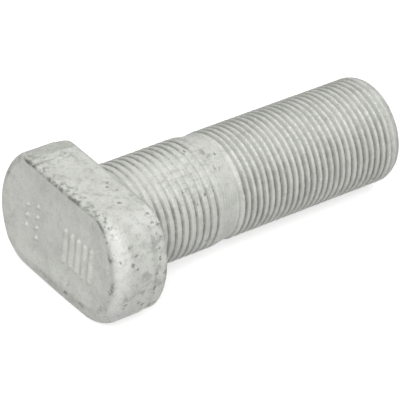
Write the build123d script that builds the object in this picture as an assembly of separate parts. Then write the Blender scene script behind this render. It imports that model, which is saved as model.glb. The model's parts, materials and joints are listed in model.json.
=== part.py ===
from build123d import *
from math import asin, atan2, degrees, hypot
import os

# A press-in wheel bolt: one steel forging with a rolled thread, coated all over.
# It is drawn along its own axis, from the front face of its head at x = 0 to the tip of its thread,
# and then laid down the way it rests: on the back edge of its head and on the end of its thread.
# Lengths are in millimetres. The threads are drawn as cylinders at their major diameter.

# Head: oblong, with round ends, two flats that stop it turning in the hub, and rounded corners between
head_length = 38.4
head_width = 24.6
head_thickness = 11.8
head_end_radius = 16.4
head_corner_radius = 7.0
head_front_edge_radius = 1.6
head_back_edge_radius = 0.7

# Shank, from under the head to the tip: press-fit stretch, tapered neck, run-out, thread
fit_diameter = 22.5
fit_length = 20.0
neck_diameter = 21.3
neck_length = 3.5
run_out_length = 1.4
thread_diameter = 22.0
thread_length = 40.1
tip_diameter = 20.9
tip_length = 1.8

# Stations along the axis, all measured from the head's front face
fit_end = head_thickness + fit_length
neck_end = fit_end + neck_length
thread_start = neck_end + run_out_length
tip_end = thread_start + thread_length
tip_start = tip_end - tip_length


def forged_head():
    """Oblong head block: two round ends trimmed by the flats, then corners and edges rounded."""
    ends = SlotCenterToCenter(head_length - 2 * head_end_radius, 2 * head_end_radius)
    between_flats = Rectangle(2 * head_length, head_width)
    outline = ends & between_flats
    outline = fillet(outline.vertices(), head_corner_radius)
    block = extrude(Plane.YZ * outline, head_thickness)
    front_edges = block.faces().sort_by(Axis.X)[0].edges()
    block = fillet(front_edges, head_front_edge_radius)
    back_edges = block.faces().sort_by(Axis.X)[-1].edges()
    return fillet(back_edges, head_back_edge_radius)


def turned_shank():
    """Shank turned from its half profile, rooted in the middle of the head and rounded over at the tip."""
    root = head_thickness / 2
    fit_radius = fit_diameter / 2
    neck_radius = neck_diameter / 2
    thread_radius = thread_diameter / 2
    tip_radius = tip_diameter / 2
    side = Polyline(
        (root, 0),
        (root, fit_radius),
        (fit_end, fit_radius),
        (neck_end, neck_radius),
        (thread_start, thread_radius),
        (tip_start, thread_radius),
    )
    tip_round = TangentArc((tip_start, thread_radius), (tip_end, tip_radius), tangent=(1, 0))
    end_face = Polyline((tip_end, tip_radius), (tip_end, 0), (root, 0))
    profile = make_face(side + tip_round + end_face)
    return revolve(Plane.XZ * profile, Axis.X)


def laid_down(bolt):
    """Tips the bolt until its head's back edge and its thread's end both touch the ground, at z = 0.

    The floor touches the rounded back edge, a circle about its own centre, and the start of the tip.
    The origin is then under the middle of the bolt, on the ground.
    """
    reach = tip_start - (head_thickness - head_back_edge_radius)
    drop = head_width / 2 - head_back_edge_radius - thread_diameter / 2
    tilt = degrees(atan2(drop, reach) + asin(head_back_edge_radius / hypot(drop, reach)))
    bolt = Rot(0, tilt, 0) * bolt
    box = bolt.bounding_box()
    return Pos(-box.center().X, -box.center().Y, -box.min.Z) * bolt


os.makedirs("parts", exist_ok=True)
wheel_bolt = laid_down(forged_head() + turned_shank())
export_step(wheel_bolt, "parts/wheel_bolt.step")
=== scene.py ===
import json
import math

import bpy
import mathutils
import numpy as np
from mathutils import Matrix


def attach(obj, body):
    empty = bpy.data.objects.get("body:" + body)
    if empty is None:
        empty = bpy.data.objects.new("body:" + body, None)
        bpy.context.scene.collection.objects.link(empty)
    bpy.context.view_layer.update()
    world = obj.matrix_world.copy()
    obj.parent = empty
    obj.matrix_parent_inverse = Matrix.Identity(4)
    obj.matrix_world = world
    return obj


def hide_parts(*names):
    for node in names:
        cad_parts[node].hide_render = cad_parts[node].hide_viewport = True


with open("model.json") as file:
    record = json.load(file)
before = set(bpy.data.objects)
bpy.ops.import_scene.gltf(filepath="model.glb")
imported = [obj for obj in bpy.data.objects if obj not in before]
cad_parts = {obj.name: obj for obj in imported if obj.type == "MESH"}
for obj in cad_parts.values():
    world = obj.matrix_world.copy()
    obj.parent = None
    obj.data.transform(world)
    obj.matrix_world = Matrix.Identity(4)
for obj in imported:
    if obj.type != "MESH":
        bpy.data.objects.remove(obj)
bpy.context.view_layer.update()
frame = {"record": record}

# Where the bolt lies
# A wheel bolt has no base: on a table it rests on the back edge of its head and the end of its thread.
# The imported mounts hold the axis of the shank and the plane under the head, and that plane is x = 0 below.
mounts = {mount["name"]: mount for mount in frame["record"]["mounts"]}
shank_axis = np.array(mounts["thread"]["axis"])
head_way = np.array([0.0, 1.0, 0.0])
flat_way = np.cross(shank_axis, head_way)
thread_middle = np.array(mounts["thread"]["pos_m"])
seat_step = np.array(mounts["head_seat"]["pos_m"]) - thread_middle
seat_middle = thread_middle + shank_axis * np.dot(seat_step, shank_axis)


def laid_down(points):
    """Bolt's own millimetres (x to the tip, y along the head, z across its flats) as metres in the frame:
    the middle of the seat plus each coordinate along its own direction."""
    return seat_middle + (points / 1000.0) @ np.array([shank_axis, head_way, flat_way])


# Head
# The head is hot forged from the same steel bar: two flats that stop it turning in the hub, two round ends.
# The dies leave one front edge crisp and the others soft, and raise plain die marks on a hollow face.
head_half_length = 19.2
head_half_width = 12.3
head_thickness = 11.8
end_radius = 16.4
face_hollow = 0.5
forged_unevenness = 0.025

# Corner radii, the upper one first, and the front edge by bearing, from the far end over the top and round.
far_corner_radii = [2.9, 7.0]
near_corner_radii = [7.0, 8.8]
edge_bearings = np.arange(0.0, 361.0, 45.0)
front_edge_widths = np.array([1.5, 1.4, 0.6, 2.4, 2.2, 3.0, 2.8, 2.4, 1.5])
front_edge_depths = np.array([1.6, 1.3, 1.1, 3.2, 3.0, 2.6, 1.5, 1.7, 1.6])
low_edge_growth = 0.5
back_edge_radius = 0.7
worn_back_edge = 0.5
far_back_round = 1.8

# The raised marks, the step where the dies parted, and the nicks in the crisp edge.
mark_height = 0.5
mark_half_width = 0.65
bar_count = 5
bar_length = 6.8
pip_length = 0.001
flash_line = 8.3
flash_step = 0.2
flash_width = 0.6
nick_count = 18
chips = np.random.default_rng(7)

# The grid of the skin.
head_columns = 288
face_rows = 80
edge_rows = 9
side_rows = 16
head_turn = np.arange(head_columns) / head_columns * 2.0 * np.pi


def smooth_rise(value, low, high):
    """0 below low, 1 above high, and the cubic 3t^2 - 2t^3 between."""
    t = np.clip((value - low) / (high - low), 0.0, 1.0)
    return t * t * (3.0 - 2.0 * t)


def head_outline(turn):
    """Outline of the head seen along the axis, and its outward normals, at polar angles.

    Each quarter has half of an end arc, a corner arc that touches it and the flat, and half of a flat.
    A ray from the axis is folded into the first quarter, meets the arc that its angle falls on at
    centre . ray + sqrt(radius^2 - |centre|^2 + (centre . ray)^2), and gets its signs back.
    """
    end = np.array([head_half_length - end_radius, 0.0])
    below = (np.sin(turn) < 0.0).astype(int)
    far_radius = np.take(far_corner_radii, below)
    near_radius = np.take(near_corner_radii, below)
    corner_radius = np.where(np.cos(turn) > 0.0, far_radius, near_radius)
    inward = end_radius - corner_radius
    corner_z = head_half_width - corner_radius
    corner = np.stack([end[0] + np.sqrt(inward ** 2 - corner_z ** 2), corner_z], axis=-1)
    join = end + (corner - end) / inward[:, None] * end_radius
    ray = np.stack([np.abs(np.cos(turn)), np.abs(np.sin(turn))], axis=-1)
    angle = np.arctan2(ray[:, 1], ray[:, 0])
    on_end = angle < np.arctan2(join[:, 1], join[:, 0])
    on_flat = angle > np.arctan2(head_half_width, corner[:, 0])
    centre = np.where(on_end[:, None], end, corner)
    radius = np.where(on_end, end_radius, corner_radius)
    reach = np.sum(centre * ray, axis=1)
    length = reach + np.sqrt(np.abs(radius ** 2 - np.sum(centre ** 2, axis=1) + reach ** 2))
    points = ray * length[:, None]
    normals = (points - centre) / radius[:, None]
    points[on_flat] = ray[on_flat] / ray[on_flat, 1:] * head_half_width
    normals[on_flat] = [0.0, 1.0]
    signs = np.stack([np.sign(np.cos(turn)), np.sign(np.sin(turn))], axis=-1)
    return points * signs, normals * signs


def die_marks(y, z):
    """Height of the raised marks: five bars and two rows of pips, each a soft ridge about a short line.

    The height is the smooth rise of one minus the distance to the nearest line over the half width.
    """
    bars = np.stack([np.linspace(-9.6, -1.6, bar_count), np.full(bar_count, -0.5 * bar_length)], axis=1)
    long_row = np.stack([np.full(4, 7.2), np.linspace(-3.6, 3.6, 4)], axis=1)
    short_row = np.stack([np.full(3, 10.4), np.linspace(-2.4, 2.4, 3)], axis=1)
    starts = np.concatenate([bars, long_row, short_row])
    steps = np.tile([pip_length, 0.0], (len(starts), 1))
    steps[:bar_count] = [0.0, bar_length]
    away = np.stack([y, z], axis=-1)[..., None, :] - starts
    share = np.clip(np.sum(away * steps, axis=-1) / np.sum(steps ** 2, axis=-1), 0.0, 1.0)
    distance = np.linalg.norm(away - share[..., None] * steps, axis=-1).min(axis=-1)
    return mark_height * smooth_rise(1.0 - distance / mark_half_width, 0.0, 0.7)


# What changes round the outline: the size of the front edge, how far it faces up or near, and the nicks.
outline, outward = head_outline(head_turn)
bearing = np.degrees(np.arctan2(outward[:, 1], outward[:, 0])) % 360.0
low_growth = low_edge_growth * smooth_rise(-outward[:, 1], 0.5, 1.0) * (outline[:, 0] / head_half_width) ** 2
edge_width = np.interp(bearing, edge_bearings, front_edge_widths) + low_growth
edge_depth = np.interp(bearing, edge_bearings, front_edge_depths) + 0.6 * low_growth
upper = smooth_rise(outward[:, 1], 0.6, 0.95)
near = smooth_rise(-outward[:, 0], 0.3, 0.8)
nick_at = chips.uniform(0.2, 0.75, nick_count) * np.pi
nick_wide = chips.uniform(0.02, 0.08, nick_count)
nick_deep = chips.uniform(0.03, 0.16, nick_count)
nicks = np.sum(nick_deep * np.exp(-((head_turn[:, None] - nick_at) / nick_wide) ** 2), axis=1)

# The face: the inner line of the front edge shrunk to the middle in even steps.
face_share = ((np.arange(face_rows - 1) + 1.0) / face_rows)[:, None]
face_rim = outline - edge_width[:, None] * outward
face_yz = face_share[..., None] * face_rim
face_x = face_hollow * smooth_rise(1.0 - face_share, 0.0, 0.4) - head_thickness
face_x = face_x - die_marks(face_yz[..., 0], face_yz[..., 1])
face = np.concatenate([face_x[..., None], face_yz], axis=-1)

# The wall is the front edge, the side and the back edge: the outline moved in by inset at a depth behind the
# face. The edges are quarter ellipses, and the back one is rounder on top and most at the far upper corner.
front_sweep = np.linspace(0.0, np.pi / 2.0, edge_rows + 1)[:, None]
back_sweep = np.linspace(0.0, np.pi / 2.0, edge_rows)[1:, None]
side_share = np.linspace(0.0, 1.0, side_rows + 1)[1:, None]
nick_share = 0.7 * np.sin(2.0 * front_sweep) + 0.2 * np.cos(front_sweep)
inset_front = edge_width * (1.0 - np.sin(front_sweep)) + nicks * nick_share
depth_front = edge_depth * (1.0 - np.cos(front_sweep)) + nicks * nick_share
far_top = np.exp(-((bearing - 45.0) / 28.0) ** 2)
back_edge = back_edge_radius + worn_back_edge * upper + far_back_round * far_top
depth_side = edge_depth + side_share * (head_thickness - back_edge - edge_depth)
inset_back = back_edge * (1.0 - np.cos(back_sweep))
depth_back = head_thickness - back_edge * (1.0 - np.sin(back_sweep))
inset = np.concatenate([inset_front, np.zeros_like(depth_side), inset_back])
depth = np.concatenate([depth_front, depth_side, depth_back])

# The forging is uneven by slow waves, and steps in where the dies parted.
uneven = np.sin(5.0 * head_turn + 0.9 * depth) * np.sin(3.0 * head_turn - 0.5 * depth + 1.0)
inset = inset + forged_unevenness * (1.8 + uneven)
inset = inset + flash_step * smooth_rise(depth, flash_line, flash_line + flash_width)
wall_yz = outline - inset[..., None] * outward
wall = np.concatenate([(depth - head_thickness)[..., None], wall_yz], axis=-1)

# Where the coat suffered: chips along the line where the face meets the front edge.
lower = smooth_rise(-outward[:, 1], 0.6, 0.95) * (1.0 - 0.7 * smooth_rise(outline[:, 0], 4.0, 10.0))
line_weight = 0.2 + 0.8 * upper * smooth_rise(-outline[:, 0], -13.0, -11.0)
line_weight = np.maximum(line_weight, np.maximum(0.7 * near, 0.72 * lower))
chip_reach = 0.8 + 0.5 * np.maximum(near, lower)
face_gap = (1.0 - face_share) * np.linalg.norm(face_rim, axis=1)
wall_gap = np.hypot(np.maximum(edge_width - inset, 0.0), depth)
face_chip = line_weight * np.exp(-(face_gap / chip_reach) ** 2)
wall_chip = line_weight * np.exp(-(wall_gap / chip_reach) ** 2)

# Bands worn dark behind the crisp edge, and painted shade along the back edge, which turns from the lamps.
face_band = 0.5 * upper * (1.0 - smooth_rise(face_gap, 0.0, 0.8))
wall_band_and_shade = (0.1 + 0.9 * upper) * (1.0 - smooth_rise(depth, 1.0, 2.6))
wall_band_and_shade = np.maximum(wall_band_and_shade, 0.55 * smooth_rise(depth, 10.6, 11.4))

# The blotted forged side, with streaks drawn along its far upper corner.
wall_side = smooth_rise(depth, 0.8, 2.0)
drawn_corner = smooth_rise(outline[:, 0], 6.5, 9.5) * smooth_rise(outward[:, 1], 0.2, 0.6)
wall_drawn = 0.52 * wall_side * drawn_corner

# Painted highlight on the near front edge, and on the near upper corner behind it, which face the lamps.
near_edge = smooth_rise(-outward[:, 0], 0.2, 0.7) * (0.25 + 0.75 * smooth_rise(outline[:, 1], -3.0, 7.0))
on_edge = smooth_rise(1.15 - depth / edge_depth, 0.0, 0.3)
wall_highlight = near_edge * on_edge * smooth_rise(wall_gap, 0.2, 0.9)
near_top = np.exp(-((bearing - 128.0) / 22.0) ** 2)
wall_highlight = np.maximum(wall_highlight, 0.85 * near_top * smooth_rise(depth, 3.0, 9.0))

# Specks, which gather at the near end and are few on the face.
low_patch = smooth_rise(0.45 - outward[:, 1], 0.0, 0.4) * smooth_rise(depth, 4.0, 9.0)
near_back = near * smooth_rise(depth, 6.5, 10.0)
wall_soil = wall_side * (0.15 * near - 0.04 * near * low_patch + 0.1 * near_back - 0.04)
face_soil = np.full_like(face_chip, -0.16)

# Painted shade at the far corner, the back line and the lower edge, which turn from the lamps, just past the
# parting step and a little over the face, and painted light low on the near end, for light from the table.
far_corner_shade = smooth_rise(outline[:, 0], 10.2, 11.0) * smooth_rise(outward[:, 1], 0.0, 0.4)
back_line_shade = upper * smooth_rise(depth, 10.4, 11.2)
flash_shade = np.exp(-((depth - flash_line - flash_width) / 0.5) ** 2)
wall_shading = 0.5 * far_corner_shade + 0.35 * back_line_shade + 0.22 * lower - 0.34 * wall_side * near * low_patch
wall_shading = wall_shading + 0.4 * near * flash_shade
face_shading = np.full_like(face_chip, 0.04)

# Shank
# Under the head the bar is turned for a press fit and rolled with shallow ribs that bite into the hub.
# A short taper leads to the fine thread, which is rolled too, so its crests are round and its ends fade out.
rib_radius = mounts["press_fit"]["dims"]["r_mm"]
thread_radius = mounts["thread"]["dims"]["r_mm"]
rib_end = mounts["press_fit"]["dims"]["length_mm"]
neck_end = 23.5
thread_start = 24.9
tip_start = thread_start + mounts["thread"]["dims"]["length_mm"]
shank_end = 65.0
neck_radius = 10.65
tip_radius = 10.45
rib_pitch = 1.73
thread_pitch = 1.5
pitch_change = 22.0
rib_depth = 0.55
thread_depth = 0.92
rib_phase = 0.193
thread_phase = 18.611 + pitch_change * (1.0 / rib_pitch - 1.0 / thread_pitch)
crest_wear = 0.02
dent_depth = 0.16
end_hollow = 0.5

# Angles round the axis start at the far side and go over the top: these are both on the upper near side.
# The later one centres the painted highlight on the thread's crests and the scuffed ribs, whose coat is
# rubbed.
pressed_turn = 2.02
highlight_and_rub_turn = 1.95

# The grid of the skin.
end_rings = 24
shank_columns = head_columns // 3
rows_a_turn = 14


def turns_to(x):
    """Turns of the helix from the seat to x: one pitch under the middle of the neck, the other beyond it."""
    return np.minimum(x, pitch_change) / rib_pitch + np.maximum(x - pitch_change, 0.0) / thread_pitch


def off_groove(phase):
    """Distance from the nearest groove's middle, as a share of the pitch, from 0 to a half."""
    return np.abs((phase + 0.5) % 1.0 - 0.5)


def pressed_flat(x, turn):
    """Share by which ribs are pressed flat: a flat-topped bell of the angle, rising away from the head."""
    return np.exp(-((turn - pressed_turn) / 0.48) ** 4) * smooth_rise(x, 2.5, 11.0)


def shank_form(x, turn, phase):
    """Radius, painted groove shade and painted crest highlight, at x, an angle and a phase of the helix.

    The plain radius follows the press fit, the taper, the thread and the round tip. From it come the
    ribs' narrow grooves and the thread's V grooves, each faded in and out along x. Painted shade darkens
    the grooves, most on the lower near side and the upper far side, and a painted highlight brightens the
    thread's crests on the lit side between.
    """
    stations = [0.0, rib_end, neck_end, thread_start]
    plain = np.interp(x, stations, [rib_radius, rib_radius, neck_radius, thread_radius])
    tip_length = shank_end - tip_start
    tip_drop = thread_radius - tip_radius
    tip_arc = (tip_length ** 2 + tip_drop ** 2) / (2.0 * tip_drop)
    past = np.clip(x - tip_start, 0.0, tip_length)
    tip = thread_radius - tip_arc + np.sqrt(tip_arc ** 2 - past ** 2)
    rib_share = smooth_rise(0.29 - off_groove(phase - rib_phase), 0.0, 0.24)
    rib_here = smooth_rise(x, 0.0, 0.7) * (1.0 - smooth_rise(x, rib_end - 1.6, rib_end + 0.4))
    rib_here = rib_here * (1.0 - 0.8 * pressed_flat(x, turn))
    rib_here = rib_here * (1.0 + 0.12 * np.sin(3.0 * turn + 0.7 * x) * np.sin(0.9 * x + 1.0))
    sway = 0.02 * np.sin(5.0 * turn + 0.6 * x) + 0.015 * np.sin(9.0 * turn - 0.37 * x)
    off_thread = off_groove(phase - thread_phase + sway)
    thread_share = smooth_rise(0.38 - off_thread, 0.0, 0.32)
    thread_here = smooth_rise(x, neck_end - 0.3, thread_start + 1.0)
    thread_here = thread_here * (1.0 - 0.7 * smooth_rise(x, tip_start - 1.2, tip_start + 0.6))
    # Painted shade in the grooves: less on the lit upper near side, more on the lower near and upper far
    # sides.
    groove_shade_by_side = 1.1 - 0.55 * np.exp(-((turn - 1.9) / 0.42) ** 2)
    groove_shade_by_side = groove_shade_by_side + 0.75 * smooth_rise(turn, 2.2, 2.6) * (1.0 - smooth_rise(turn, 3.6, 4.4))
    groove_shade_by_side = groove_shade_by_side + 0.7 * smooth_rise(turn, 0.3, 0.8) * (1.0 - smooth_rise(turn, 1.3, 1.75))
    # Painted shade in the ribs' grooves.
    rib_groove_shade = (1.45 - 0.45 * smooth_rise(turn, 2.3, 2.8)) * rib_share * rib_here
    groove = groove_shade_by_side * np.maximum(rib_groove_shade, thread_share * thread_here)
    # A painted highlight on the thread's crests, on the lit side only.
    lit_side = np.exp(-((turn - highlight_and_rub_turn) / 0.65) ** 2)
    crest_highlight = 0.85 * thread_here * smooth_rise(off_thread, 0.16, 0.42) * lit_side
    worn = 1.0 + np.sin(7.0 * turn + 2.3 * x) * np.sin(4.0 * turn - 1.1 * x)
    cut = rib_depth * rib_share * rib_here + thread_depth * thread_share * thread_here
    turned = plain - cut - crest_wear * worn * smooth_rise(x, 0.5, 2.0)
    return np.where(x > tip_start, np.minimum(turned, tip), turned), groove, crest_highlight


def ring(x, radius, turn):
    """Circle of this radius about the axis at x."""
    return np.stack([np.full_like(turn, x), radius * np.cos(turn), radius * np.sin(turn)], axis=-1)


# The skin: rows follow the helix, the first of them a turn before the seat, and each has one phase.
last_turn = turns_to(shank_end)
shank_rows = math.ceil((last_turn + 1.0) * rows_a_turn) + 1
row_phase = (np.arange(shank_rows) / rows_a_turn - 1.0)[:, None]
shank_turn = np.arange(shank_columns + 1) / shank_columns * 2.0 * np.pi
helix = row_phase + shank_turn / (2.0 * np.pi)
station_list = [-2.0 * rib_pitch, pitch_change, shank_end + 2.0 * thread_pitch]
turn_list = [-2.0, turns_to(pitch_change), last_turn + 2.0]
shank_x = np.interp(helix, turn_list, station_list)
shank_r, shank_groove_shade, shank_crest_highlight = shank_form(shank_x, shank_turn, row_phase)

# Small dents, where three waves over the skin add up.
ripple = np.sin(31.0 * shank_turn + 5.3 * shank_x) + np.sin(23.0 * shank_turn - 3.7 * shank_x + 1.0)
ripple = ripple + np.sin(13.0 * shank_turn + 8.9 * shank_x + 2.0)
dents = dent_depth * np.clip(ripple / 3.0, 0.0, 1.0) ** 2
shank_r = shank_r - dents * smooth_rise(shank_x, 0.5, 2.0)
shank = np.stack([shank_x, shank_r * np.cos(shank_turn), shank_r * np.sin(shank_turn)], axis=-1)

# The line halfway across the seat, and the end face, dished inside a flat rim.
ring_turn = shank_turn[:-1]
seat_line = 0.5 * (wall[-1] + ring(0.0, rib_radius, head_turn))
end_middle = np.array([shank_end, 0.0, 0.0])
end_share = np.linspace(1.0, 0.0, end_rings + 1)[:-1, None, None]
end_face = end_middle + end_share * (ring(shank_end, tip_radius, ring_turn) - end_middle)
end_face[..., 0] -= end_hollow * smooth_rise(1.0 - end_share[..., 0], 0.16, 0.36)
end_middle = end_middle - [end_hollow, 0.0, 0.0]

# Where the coat suffered: rubbed and streaked on the pressed ribs, specked there, on the last rib and in one
# scuff below, and worn at the tip. Painted shade darkens the upper far side, and painted light the neck.
scuffed = np.exp(-((shank_turn - highlight_and_rub_turn) / 0.75) ** 2) * smooth_rise(shank_x, 3.0, 12.0)
scuffed = scuffed * (1.0 - smooth_rise(shank_x, 22.0, 24.5))
neck_here = smooth_rise(shank_x, rib_end, rib_end + 1.0)
neck_here = neck_here * (1.0 - smooth_rise(shank_x, neck_end, thread_start))
# Painted highlight on the lit crests, and coat rubbed bright on the scuffed ribs.
shank_highlight_and_rub = np.maximum(shank_crest_highlight, 0.3 * scuffed)
shank_drawn = 0.3 * scuffed * (1.0 - neck_here)
last_rib = np.exp(-((shank_turn - 2.0) / 0.7) ** 2 - ((shank_x - rib_end - 0.1) / 0.7) ** 2)
low_scuff = np.exp(-((shank_turn - 2.5) / 0.22) ** 2 - ((shank_x - 10.0) / 3.0) ** 2)
shank_soil = 0.12 * scuffed + 0.22 * last_rib + 0.2 * low_scuff - 0.1
shank_soil = shank_soil - 0.06 * smooth_rise(shank_x, neck_end, thread_start)
# Painted shade on the upper far side, weaker on the neck, and painted light on the neck.
far_top_shade = smooth_rise(np.cos(shank_turn), 0.05, 0.5) * smooth_rise(np.sin(shank_turn), -0.3, 0.5)
shank_shading = 0.9 * far_top_shade * smooth_rise(shank_x, 0.0, 4.0) * (1.0 - 0.5 * neck_here)
shank_shading = shank_shading - 0.08 * neck_here
tip_band = 0.5 * smooth_rise(shank_x, tip_start - 0.5, shank_end)

# The bolt in one piece
# Head and shank are one forging, so they are one closed skin: face, edges, seat, helix and end in that order.
# A thin zinc flake coat covers it: pale warm grey, satin, clouded where it ran and chipped dark on the edges.
blocks = {
    "face_middle": np.array([[face_hollow - head_thickness, 0.0, 0.0]]),
    "face": face,
    "wall": wall,
    "seat": seat_line,
    "root": ring(0.0, rib_radius, ring_turn),
    "helix": shank[:, :-1],
    "end": end_face,
    "end_middle": end_middle[None],
}
points = np.concatenate([block.reshape(-1, 3) for block in blocks.values()])
ids = {}
numbered = 0
for name, block in blocks.items():
    ids[name] = numbered + np.arange(block.size // 3).reshape(block.shape[:-1])
    numbered += block.size // 3


def bands(grid):
    """Quads between each row of vertex numbers and the next, closed round the last column."""
    beside = np.roll(grid, -1, axis=1)
    return np.stack([grid[:-1], beside[:-1], beside[1:], grid[1:]], axis=-1).reshape(-1, 4)


def fan(first, second, middle):
    """Triangles from each pair of vertex numbers to one in the middle."""
    return np.stack(np.broadcast_arrays(first, second, middle), axis=-1)


# The helix: a row's last column runs on into the first column of the row one turn later, and points past
# either end of the shank are taken by the ring there.
around = np.arange(shank_columns + 1) % shank_columns
helix_grid = ids["helix"][:, around]
helix_grid[:-rows_a_turn, -1] = ids["helix"][rows_a_turn:, 0]
helix_grid = np.where(shank_x <= 0.0, ids["root"][around], helix_grid)
helix_grid = np.where(shank_x >= shank_end, ids["end"][0][around], helix_grid)
corners = [helix_grid[:-1, :-1], helix_grid[:-1, 1:], helix_grid[1:, 1:], helix_grid[1:, :-1]]
cells = np.stack(corners, axis=-1).reshape(-1, 4)
flat_left = cells[:, 0] == cells[:, 3]
flat_right = cells[:, 1] == cells[:, 2]

# Three columns of the head meet one of the shank on the seat.
outer = np.append(ids["seat"], ids["seat"][0])
inner = np.append(ids["root"], ids["root"][0])
lead = np.arange(shank_columns) * 3
head_grid = np.concatenate([ids["face"], ids["wall"], ids["seat"][None]])
quads = np.concatenate([
    bands(head_grid),
    np.stack([outer[lead + 1], outer[lead + 2], inner[1:], inner[:-1]], axis=-1),
    cells[~flat_left & ~flat_right],
    bands(ids["end"]),
])
triangles = np.concatenate([
    fan(np.roll(head_grid[0], -1), head_grid[0], ids["face_middle"]),
    np.stack([outer[lead], outer[lead + 1], inner[:-1]], axis=-1),
    np.stack([outer[lead + 2], outer[lead + 3], inner[1:]], axis=-1),
    cells[flat_left & ~flat_right][:, [0, 1, 2]],
    cells[flat_right & ~flat_left][:, [0, 1, 3]],
    fan(ids["end"][-1], np.roll(ids["end"][-1], -1), ids["end_middle"]),
])
used = np.unique(np.concatenate([quads.ravel(), triangles.ravel()]))
renumber = np.zeros(len(points), dtype=int)
renumber[used] = np.arange(len(used))
bolt_faces = renumber[quads].tolist() + renumber[triangles].tolist()
bolt_mesh = bpy.data.meshes.new("coated_bolt")
bolt_mesh.from_pydata(laid_down(points[used]).tolist(), [], bolt_faces)
bolt_mesh.shade_smooth()

# Wear, painted shade and painted highlights lie on the mesh, one layer for each kind, 0 on blocks left out.
painted = {
    "chip_line": {"face": face_chip, "wall": wall_chip},
    # Wear behind the crisp edge and at the tip, and painted shade along the back edge.
    "worn_band_and_shade": {"face": face_band, "wall": wall_band_and_shade, "helix": tip_band[:, :-1]},
    "forged_side": {"wall": wall_side, "helix": 0.7 * scuffed[:, :-1]},
    # Painted shade and painted light, on the head and the shank.
    "painted_shading": {"face": face_shading, "wall": wall_shading, "helix": shank_shading[:, :-1]},
    "drawn_side": {"wall": wall_drawn, "helix": shank_drawn[:, :-1]},
    # Painted highlight on the near front edge and the near upper corner.
    "edge_highlight": {"wall": wall_highlight},
    # Painted highlight on the lit crests, and coat rubbed bright on the scuffed ribs.
    "crest_highlight_and_rub": {"helix": shank_highlight_and_rub[:, :-1]},
    "soiled": {"face": face_soil, "wall": wall_soil, "helix": shank_soil[:, :-1]},
    # Painted shade in the shank's grooves.
    "groove": {"helix": shank_groove_shade[:, :-1]},
}
for name, shares in painted.items():
    values = np.zeros(len(points), dtype=np.float32)
    for block, share in shares.items():
        values[ids[block]] = share
    layer = bolt_mesh.attributes.new(name, "FLOAT", "POINT")
    layer.data.foreach_set("value", values[used])

# The seat meets the shank, and the tip meets the end face, in a corner that is not shaded round.
is_corner = np.zeros(len(points), dtype=bool)
is_corner[ids["root"]] = True
is_corner[ids["end"][0]] = True
edge_ends = np.empty(2 * len(bolt_mesh.edges), dtype=np.int32)
bolt_mesh.edges.foreach_get("vertices", edge_ends)
sharp = is_corner[used][edge_ends.reshape(-1, 2)].all(axis=1)
bolt_mesh.edges.foreach_set("use_edge_sharp", sharp)

# The coat's material, from nodes that read the painted layers and the place on the bolt.
coat = bpy.data.materials.new("zinc_flake_coat")
coat.use_nodes = True
coat_nodes = coat.node_tree.nodes
coat_links = coat.node_tree.links
coat_shader = coat_nodes["Principled BSDF"]


def coat_node(kind, settings, inputs):
    """A node of the coat: its settings by name, and its inputs by socket as a value or another socket."""
    made = coat_nodes.new(kind)
    for name, value in settings.items():
        setattr(made, name, value)
    for socket, value in inputs.items():
        if isinstance(value, bpy.types.NodeSocket):
            coat_links.new(value, made.inputs[socket])
        else:
            made.inputs[socket].default_value = value
    return made


def coat_ramp(value, low, high, to_low, to_high):
    """A value from low to high carried smoothly to another range, and held at its ends."""
    limits = {"Value": value, "From Min": low, "From Max": high, "To Min": to_low, "To Max": to_high}
    return coat_node("ShaderNodeMapRange", {"interpolation_type": "SMOOTHSTEP"}, limits).outputs["Result"]


def coat_sum(operation, first, second):
    """Two values added, subtracted, multiplied or compared for the larger, as the operation says."""
    return coat_node("ShaderNodeMath", {"operation": operation}, {0: first, 1: second}).outputs["Value"]


def coat_vector(operation, inputs):
    """A vector scaled, or two added."""
    return coat_node("ShaderNodeVectorMath", {"operation": operation}, inputs).outputs["Vector"]


def coat_tint(share, under, over):
    """One colour laid over another by a share from 0 to 1: sockets 0, 6 and 7 of a colour mix."""
    return coat_node("ShaderNodeMix", {"data_type": "RGBA"}, {0: share, 6: under, 7: over}).outputs[2]


def coat_layer(name):
    """A value painted on the mesh."""
    return coat_node("ShaderNodeAttribute", {"attribute_name": name}, {}).outputs["Fac"]


def coat_noise(vector, scale, detail, roughness):
    """Noise of about 0 to 1 with this many bumps a metre."""
    inputs = {"Vector": vector, "Scale": scale, "Detail": detail, "Roughness": roughness}
    return coat_node("ShaderNodeTexNoise", {}, inputs).outputs["Fac"]


def coat_specks(vector, scale, gathered, rarity, size):
    """Round specks, one to a cell of a cell pattern: a cell's own random number, raised where specks
    gather, sets the radius, and the speck is where the distance from the cell's middle is less."""
    cell = coat_node("ShaderNodeTexVoronoi", {}, {"Vector": vector, "Scale": scale})
    chance = coat_node("ShaderNodeSeparateColor", {}, {"Color": cell.outputs["Color"]}).outputs["Red"]
    radius = coat_ramp(coat_sum("ADD", chance, gathered), rarity, 1.1, 0.0, size)
    return coat_ramp(coat_sum("SUBTRACT", radius, cell.outputs["Distance"]), 0.0, 0.2, 0.0, 1.0)


place = coat_node("ShaderNodeTexCoord", {}, {}).outputs["Object"]
chip_line = coat_layer("chip_line")
worn_band_and_shade = coat_layer("worn_band_and_shade")
forged_side = coat_layer("forged_side")
painted_shading = coat_layer("painted_shading")
drawn_side = coat_layer("drawn_side")
edge_highlight = coat_layer("edge_highlight")
crest_highlight_and_rub = coat_layer("crest_highlight_and_rub")
soiled = coat_layer("soiled")
groove = coat_layer("groove")

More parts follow.
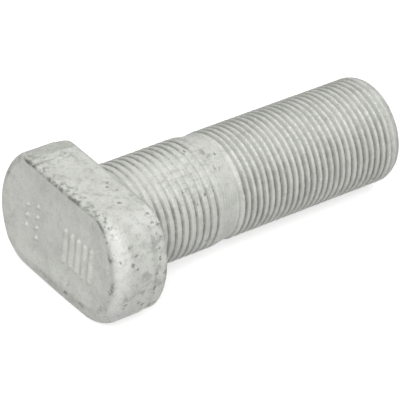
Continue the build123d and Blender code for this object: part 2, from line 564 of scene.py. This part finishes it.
# Clouds and blots where the coat ran thick and thin, a fine grain of flakes, drawn streaks, the painted shade
# and light of the shading layer, painted glints and highlights, and painted shade in the grooves.
# Colours: thick coat; thin coat and painted shade; painted highlight and rubbing; wear and painted shade;
# bare.
thick = (0.655, 0.663, 0.622, 1.0)
thin_and_shaded = (0.42, 0.428, 0.395, 1.0)
rubbed_and_highlight = (0.78, 0.785, 0.76, 1.0)
dark_wear_and_shade = (0.2, 0.206, 0.185, 1.0)
bare = (0.10, 0.10, 0.088, 1.0)
cloud = coat_noise(place, 240.0, 5.0, 0.6)
blot = coat_noise(place, 720.0, 4.0, 0.65)
grain = coat_noise(place, 2600.0, 3.0, 0.6)
drawn = coat_node("ShaderNodeMapping", {}, {"Vector": place, "Scale": (0.1, 1.0, 1.0)}).outputs["Vector"]
streak = coat_noise(drawn, 1500.0, 3.0, 0.5)
patch = coat_noise(place, 150.0, 2.0, 0.5)
tone_and_shade = coat_sum("ADD", coat_ramp(cloud, 0.38, 0.70, 0.0, 0.34), coat_ramp(grain, 0.42, 0.72, 0.0, 0.3))
blot_weight = coat_ramp(forged_side, 0.0, 1.0, 0.25, 0.65)
blotted = coat_sum("MULTIPLY", coat_ramp(blot, 0.46, 0.70, 0.0, 1.0), blot_weight)
streaked = coat_sum("MULTIPLY", coat_ramp(streak, 0.5, 0.62, 0.0, 1.2), drawn_side)
tone_and_shade = coat_sum("ADD", tone_and_shade, coat_sum("ADD", blotted, streaked))
# Painted shade and painted light from the shading layer.
tone_and_shade = coat_sum("ADD", tone_and_shade, painted_shading)
colour = coat_tint(tone_and_shade, thick, thin_and_shaded)
# Painted glints at random, and painted highlights on the lit crests and near edge, in a pale colour.
glint = coat_ramp(coat_noise(place, 1500.0, 2.0, 0.5), 0.62, 0.74, 0.0, 0.6)
sparkle = coat_ramp(coat_noise(place, 1500.0, 4.0, 0.7), 0.45, 0.60, 0.0, 1.0)
glint = coat_sum("MAXIMUM", glint, coat_sum("MULTIPLY", sparkle, crest_highlight_and_rub))
# The painted highlight on the near edge, broken up by noise.
edge_highlight_mottle = coat_ramp(blot, 0.4, 0.62, 0.8, 0.35)
glint = coat_sum("MAXIMUM", glint, coat_sum("MULTIPLY", edge_highlight_mottle, edge_highlight))
colour = coat_tint(glint, colour, rubbed_and_highlight)
# Painted shade in the grooves, mottled by noise.
groove_shade_mottle = coat_ramp(coat_noise(place, 700.0, 4.0, 0.7), 0.36, 0.64, 0.3, 0.5)
colour = coat_tint(coat_sum("MULTIPLY", groove, groove_shade_mottle), colour, dark_wear_and_shade)

# Specks where the coat missed the steel, gathered in patches, and dull smudges where they are thick. The
# specks' place is jittered, so that their rims are ragged.
jitter_noise = {"Vector": place, "Scale": 2200.0, "Detail": 2.0}
jitter = coat_node("ShaderNodeTexNoise", {}, jitter_noise).outputs["Color"]
ragged_place = coat_vector("ADD", {0: place, 1: coat_vector("SCALE", {0: jitter, "Scale": 0.001})})
gathered = coat_sum("ADD", coat_ramp(patch, 0.35, 0.68, -0.1, 0.08), soiled)
large_speck = coat_specks(ragged_place, 420.0, gathered, 0.7, 0.42)
small_speck = coat_specks(ragged_place, 900.0, gathered, 0.66, 0.5)
smudge = coat_sum("ADD", coat_noise(place, 300.0, 5.0, 0.65), gathered)
smudge = coat_ramp(smudge, 0.70, 0.90, 0.0, 0.4)
spot = coat_sum("MULTIPLY", coat_sum("MAXIMUM", large_speck, small_speck), 0.6)
spot = coat_sum("MAXIMUM", spot, smudge)
colour = coat_tint(spot, colour, bare)

# A worn band behind the crisp front edge and at the tip, painted shade along the back edge, and chips on the
# line where the face meets the edges.
worn = coat_ramp(coat_noise(place, 1050.0, 4.0, 0.7), 0.45, 0.64, 0.0, 0.8)
worn = coat_sum("MULTIPLY", worn, worn_band_and_shade)
colour = coat_tint(worn, colour, dark_wear_and_shade)
colour = coat_tint(coat_ramp(chip_line, 0.3, 1.0, 0.0, 0.3), colour, dark_wear_and_shade)
gaps = coat_ramp(coat_noise(place, 330.0, 2.0, 0.5), 0.38, 0.56, 0.6, 1.0)
broken_line = coat_sum("MULTIPLY", chip_line, gaps)
chip = coat_sum("ADD", coat_sum("MULTIPLY", broken_line, 0.62), coat_noise(place, 800.0, 4.0, 0.7))
on_line = coat_ramp(chip_line, 0.02, 0.2, 0.0, 1.0)
chip = coat_sum("MULTIPLY", coat_ramp(chip, 0.84, 1.14, 0.0, 0.75), on_line)
colour = coat_tint(chip, colour, bare)

# Colour, gloss and a fine bump on the shader. The damage is sunk, and the worn bands are pitted.
coat_links.new(colour, coat_shader.inputs["Base Color"])
coat_shader.inputs["Metallic"].default_value = 0.05
coat_shader.inputs["Specular IOR Level"].default_value = 0.25
coat_links.new(coat_ramp(grain, 0.3, 0.7, 0.42, 0.58), coat_shader.inputs["Roughness"])
relief = coat_sum("ADD", coat_sum("MULTIPLY", cloud, 0.8), coat_sum("MULTIPLY", blot, 0.5))
relief = coat_sum("ADD", relief, coat_sum("MULTIPLY", grain, 0.3))
pitted = coat_sum("MULTIPLY", coat_noise(place, 1600.0, 3.0, 0.6), worn_band_and_shade)
scarred = coat_sum("ADD", worn, coat_sum("MULTIPLY", pitted, 3.0))
damage = coat_sum("ADD", coat_sum("ADD", spot, chip), scarred)
relief = coat_sum("SUBTRACT", relief, coat_sum("MULTIPLY", damage, 0.35))
bump = coat_node("ShaderNodeBump", {}, {"Height": relief, "Strength": 0.55, "Distance": 0.0002})
coat_links.new(bump.outputs["Normal"], coat_shader.inputs["Normal"])

bolt = bpy.data.objects.new("wheel_bolt_coated", bolt_mesh)
bpy.context.scene.collection.objects.link(bolt)
bolt_mesh.materials.append(coat)
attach(bolt, "root")
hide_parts("wheel_bolt")

# Table and light
# The bolt lies on a plain white table, as in a catalogue picture. A soft key lamp is in front, with weaker
# ones above and behind and a low card at the back. Table and room are white only where they are seen directly
# or mirrored in the coat's satin, and otherwise a pale even fill.
table_half = 0.45
lamp_distance = 0.9
lamp_width = 0.5


def level_by_ray(tree, hidden, seen):
    """In a node tree, one level on rays that only carry light, and another on rays from the camera,
    gloss or glass: the largest of the three flags, each 0 or 1, carried to the range from hidden to seen."""
    path = tree.nodes.new("ShaderNodeLightPath")
    flag = path.outputs["Is Camera Ray"]
    for kind in ("Is Glossy Ray", "Is Transmission Ray"):
        larger = tree.nodes.new("ShaderNodeMath")
        larger.operation = "MAXIMUM"
        tree.links.new(flag, larger.inputs[0])
        tree.links.new(path.outputs[kind], larger.inputs[1])
        flag = larger.outputs["Value"]
    level = tree.nodes.new("ShaderNodeMapRange")
    level.inputs["To Min"].default_value = hidden
    level.inputs["To Max"].default_value = seen
    tree.links.new(flag, level.inputs["Value"])
    return level.outputs["Result"]


table_mesh = bpy.data.meshes.new("table")
table_signs = np.array([[-1.0, -1.0, 0.0], [1.0, -1.0, 0.0], [1.0, 1.0, 0.0], [-1.0, 1.0, 0.0]])
table_mesh.from_pydata((table_half * table_signs).tolist(), [], [(0, 1, 2, 3)])
table = bpy.data.objects.new("table", table_mesh)
bpy.context.scene.collection.objects.link(table)
table_paint = bpy.data.materials.new("white_table")
table_paint.use_nodes = True
table_shader = table_paint.node_tree.nodes["Principled BSDF"]
table_shader.inputs["Base Color"].default_value = (0.62, 0.62, 0.62, 1.0)
table_shader.inputs["Roughness"].default_value = 0.9
table_shader.inputs["Specular IOR Level"].default_value = 0.1
table_shader.inputs["Emission Color"].default_value = (1.0, 1.0, 1.0, 1.0)
table_glow = level_by_ray(table_paint.node_tree, 0.0, 0.68)
table_paint.node_tree.links.new(table_glow, table_shader.inputs["Emission Strength"])
table_mesh.materials.append(table_paint)


def soft_lamp(name, way, power):
    """A square lamp along a direction from the bolt, turned to face it."""
    lamp_data = bpy.data.lights.new(name, "AREA")
    lamp_data.size = lamp_width
    lamp_data.energy = power
    lamp = bpy.data.objects.new(name, lamp_data)
    lamp.location = mathutils.Vector(way).normalized() * lamp_distance
    lamp.rotation_euler = mathutils.Vector(way).to_track_quat("Z", "Y").to_euler()
    bpy.context.scene.collection.objects.link(lamp)


soft_lamp("lamp_key", (-0.47, -0.47, 0.74), 6.45)
soft_lamp("lamp_above", (0.11, 0.13, 0.98), 1.25)
soft_lamp("lamp_behind", (0.63, 0.23, 0.74), 0.9)
soft_lamp("card_behind", (0.25, 0.95, 0.2), 0.9)
world = bpy.data.worlds.new("pale_room")
world.use_nodes = True
room = world.node_tree.nodes["Background"]
room.inputs["Color"].default_value = (1.0, 1.0, 1.0, 1.0)
world.node_tree.links.new(level_by_ray(world.node_tree, 0.18, 1.0), room.inputs["Strength"])
bpy.context.scene.world = world

# Camera
# A long lens looks down on the head from the side that the photograph shows, rolled so that the shank climbs.
camera_azimuth = math.radians(-41.584)
camera_elevation = math.radians(35.485)
camera_roll = math.radians(5.739)
camera_distance = 0.68166
camera_target = mathutils.Vector((-0.003504, 0.000178, 0.008925))
camera_side = math.cos(camera_elevation)
camera_way = mathutils.Vector((
    math.sin(camera_azimuth) * camera_side,
    -math.cos(camera_azimuth) * camera_side,
    math.sin(camera_elevation),
))
camera_data = bpy.data.cameras.new("catalogue_camera")
camera_data.lens = 314.4
camera_data.sensor_width = 36.0
camera = bpy.data.objects.new("catalogue_camera", camera_data)
camera.location = camera_target + camera_way * camera_distance
level_view = camera_way.to_track_quat("Z", "Y")
camera.rotation_euler = (level_view @ mathutils.Quaternion((0.0, 0.0, 1.0), camera_roll)).to_euler()
bpy.context.scene.collection.objects.link(camera)
bpy.context.scene.camera = camera
bpy.context.scene.view_settings.view_transform = "Standard"
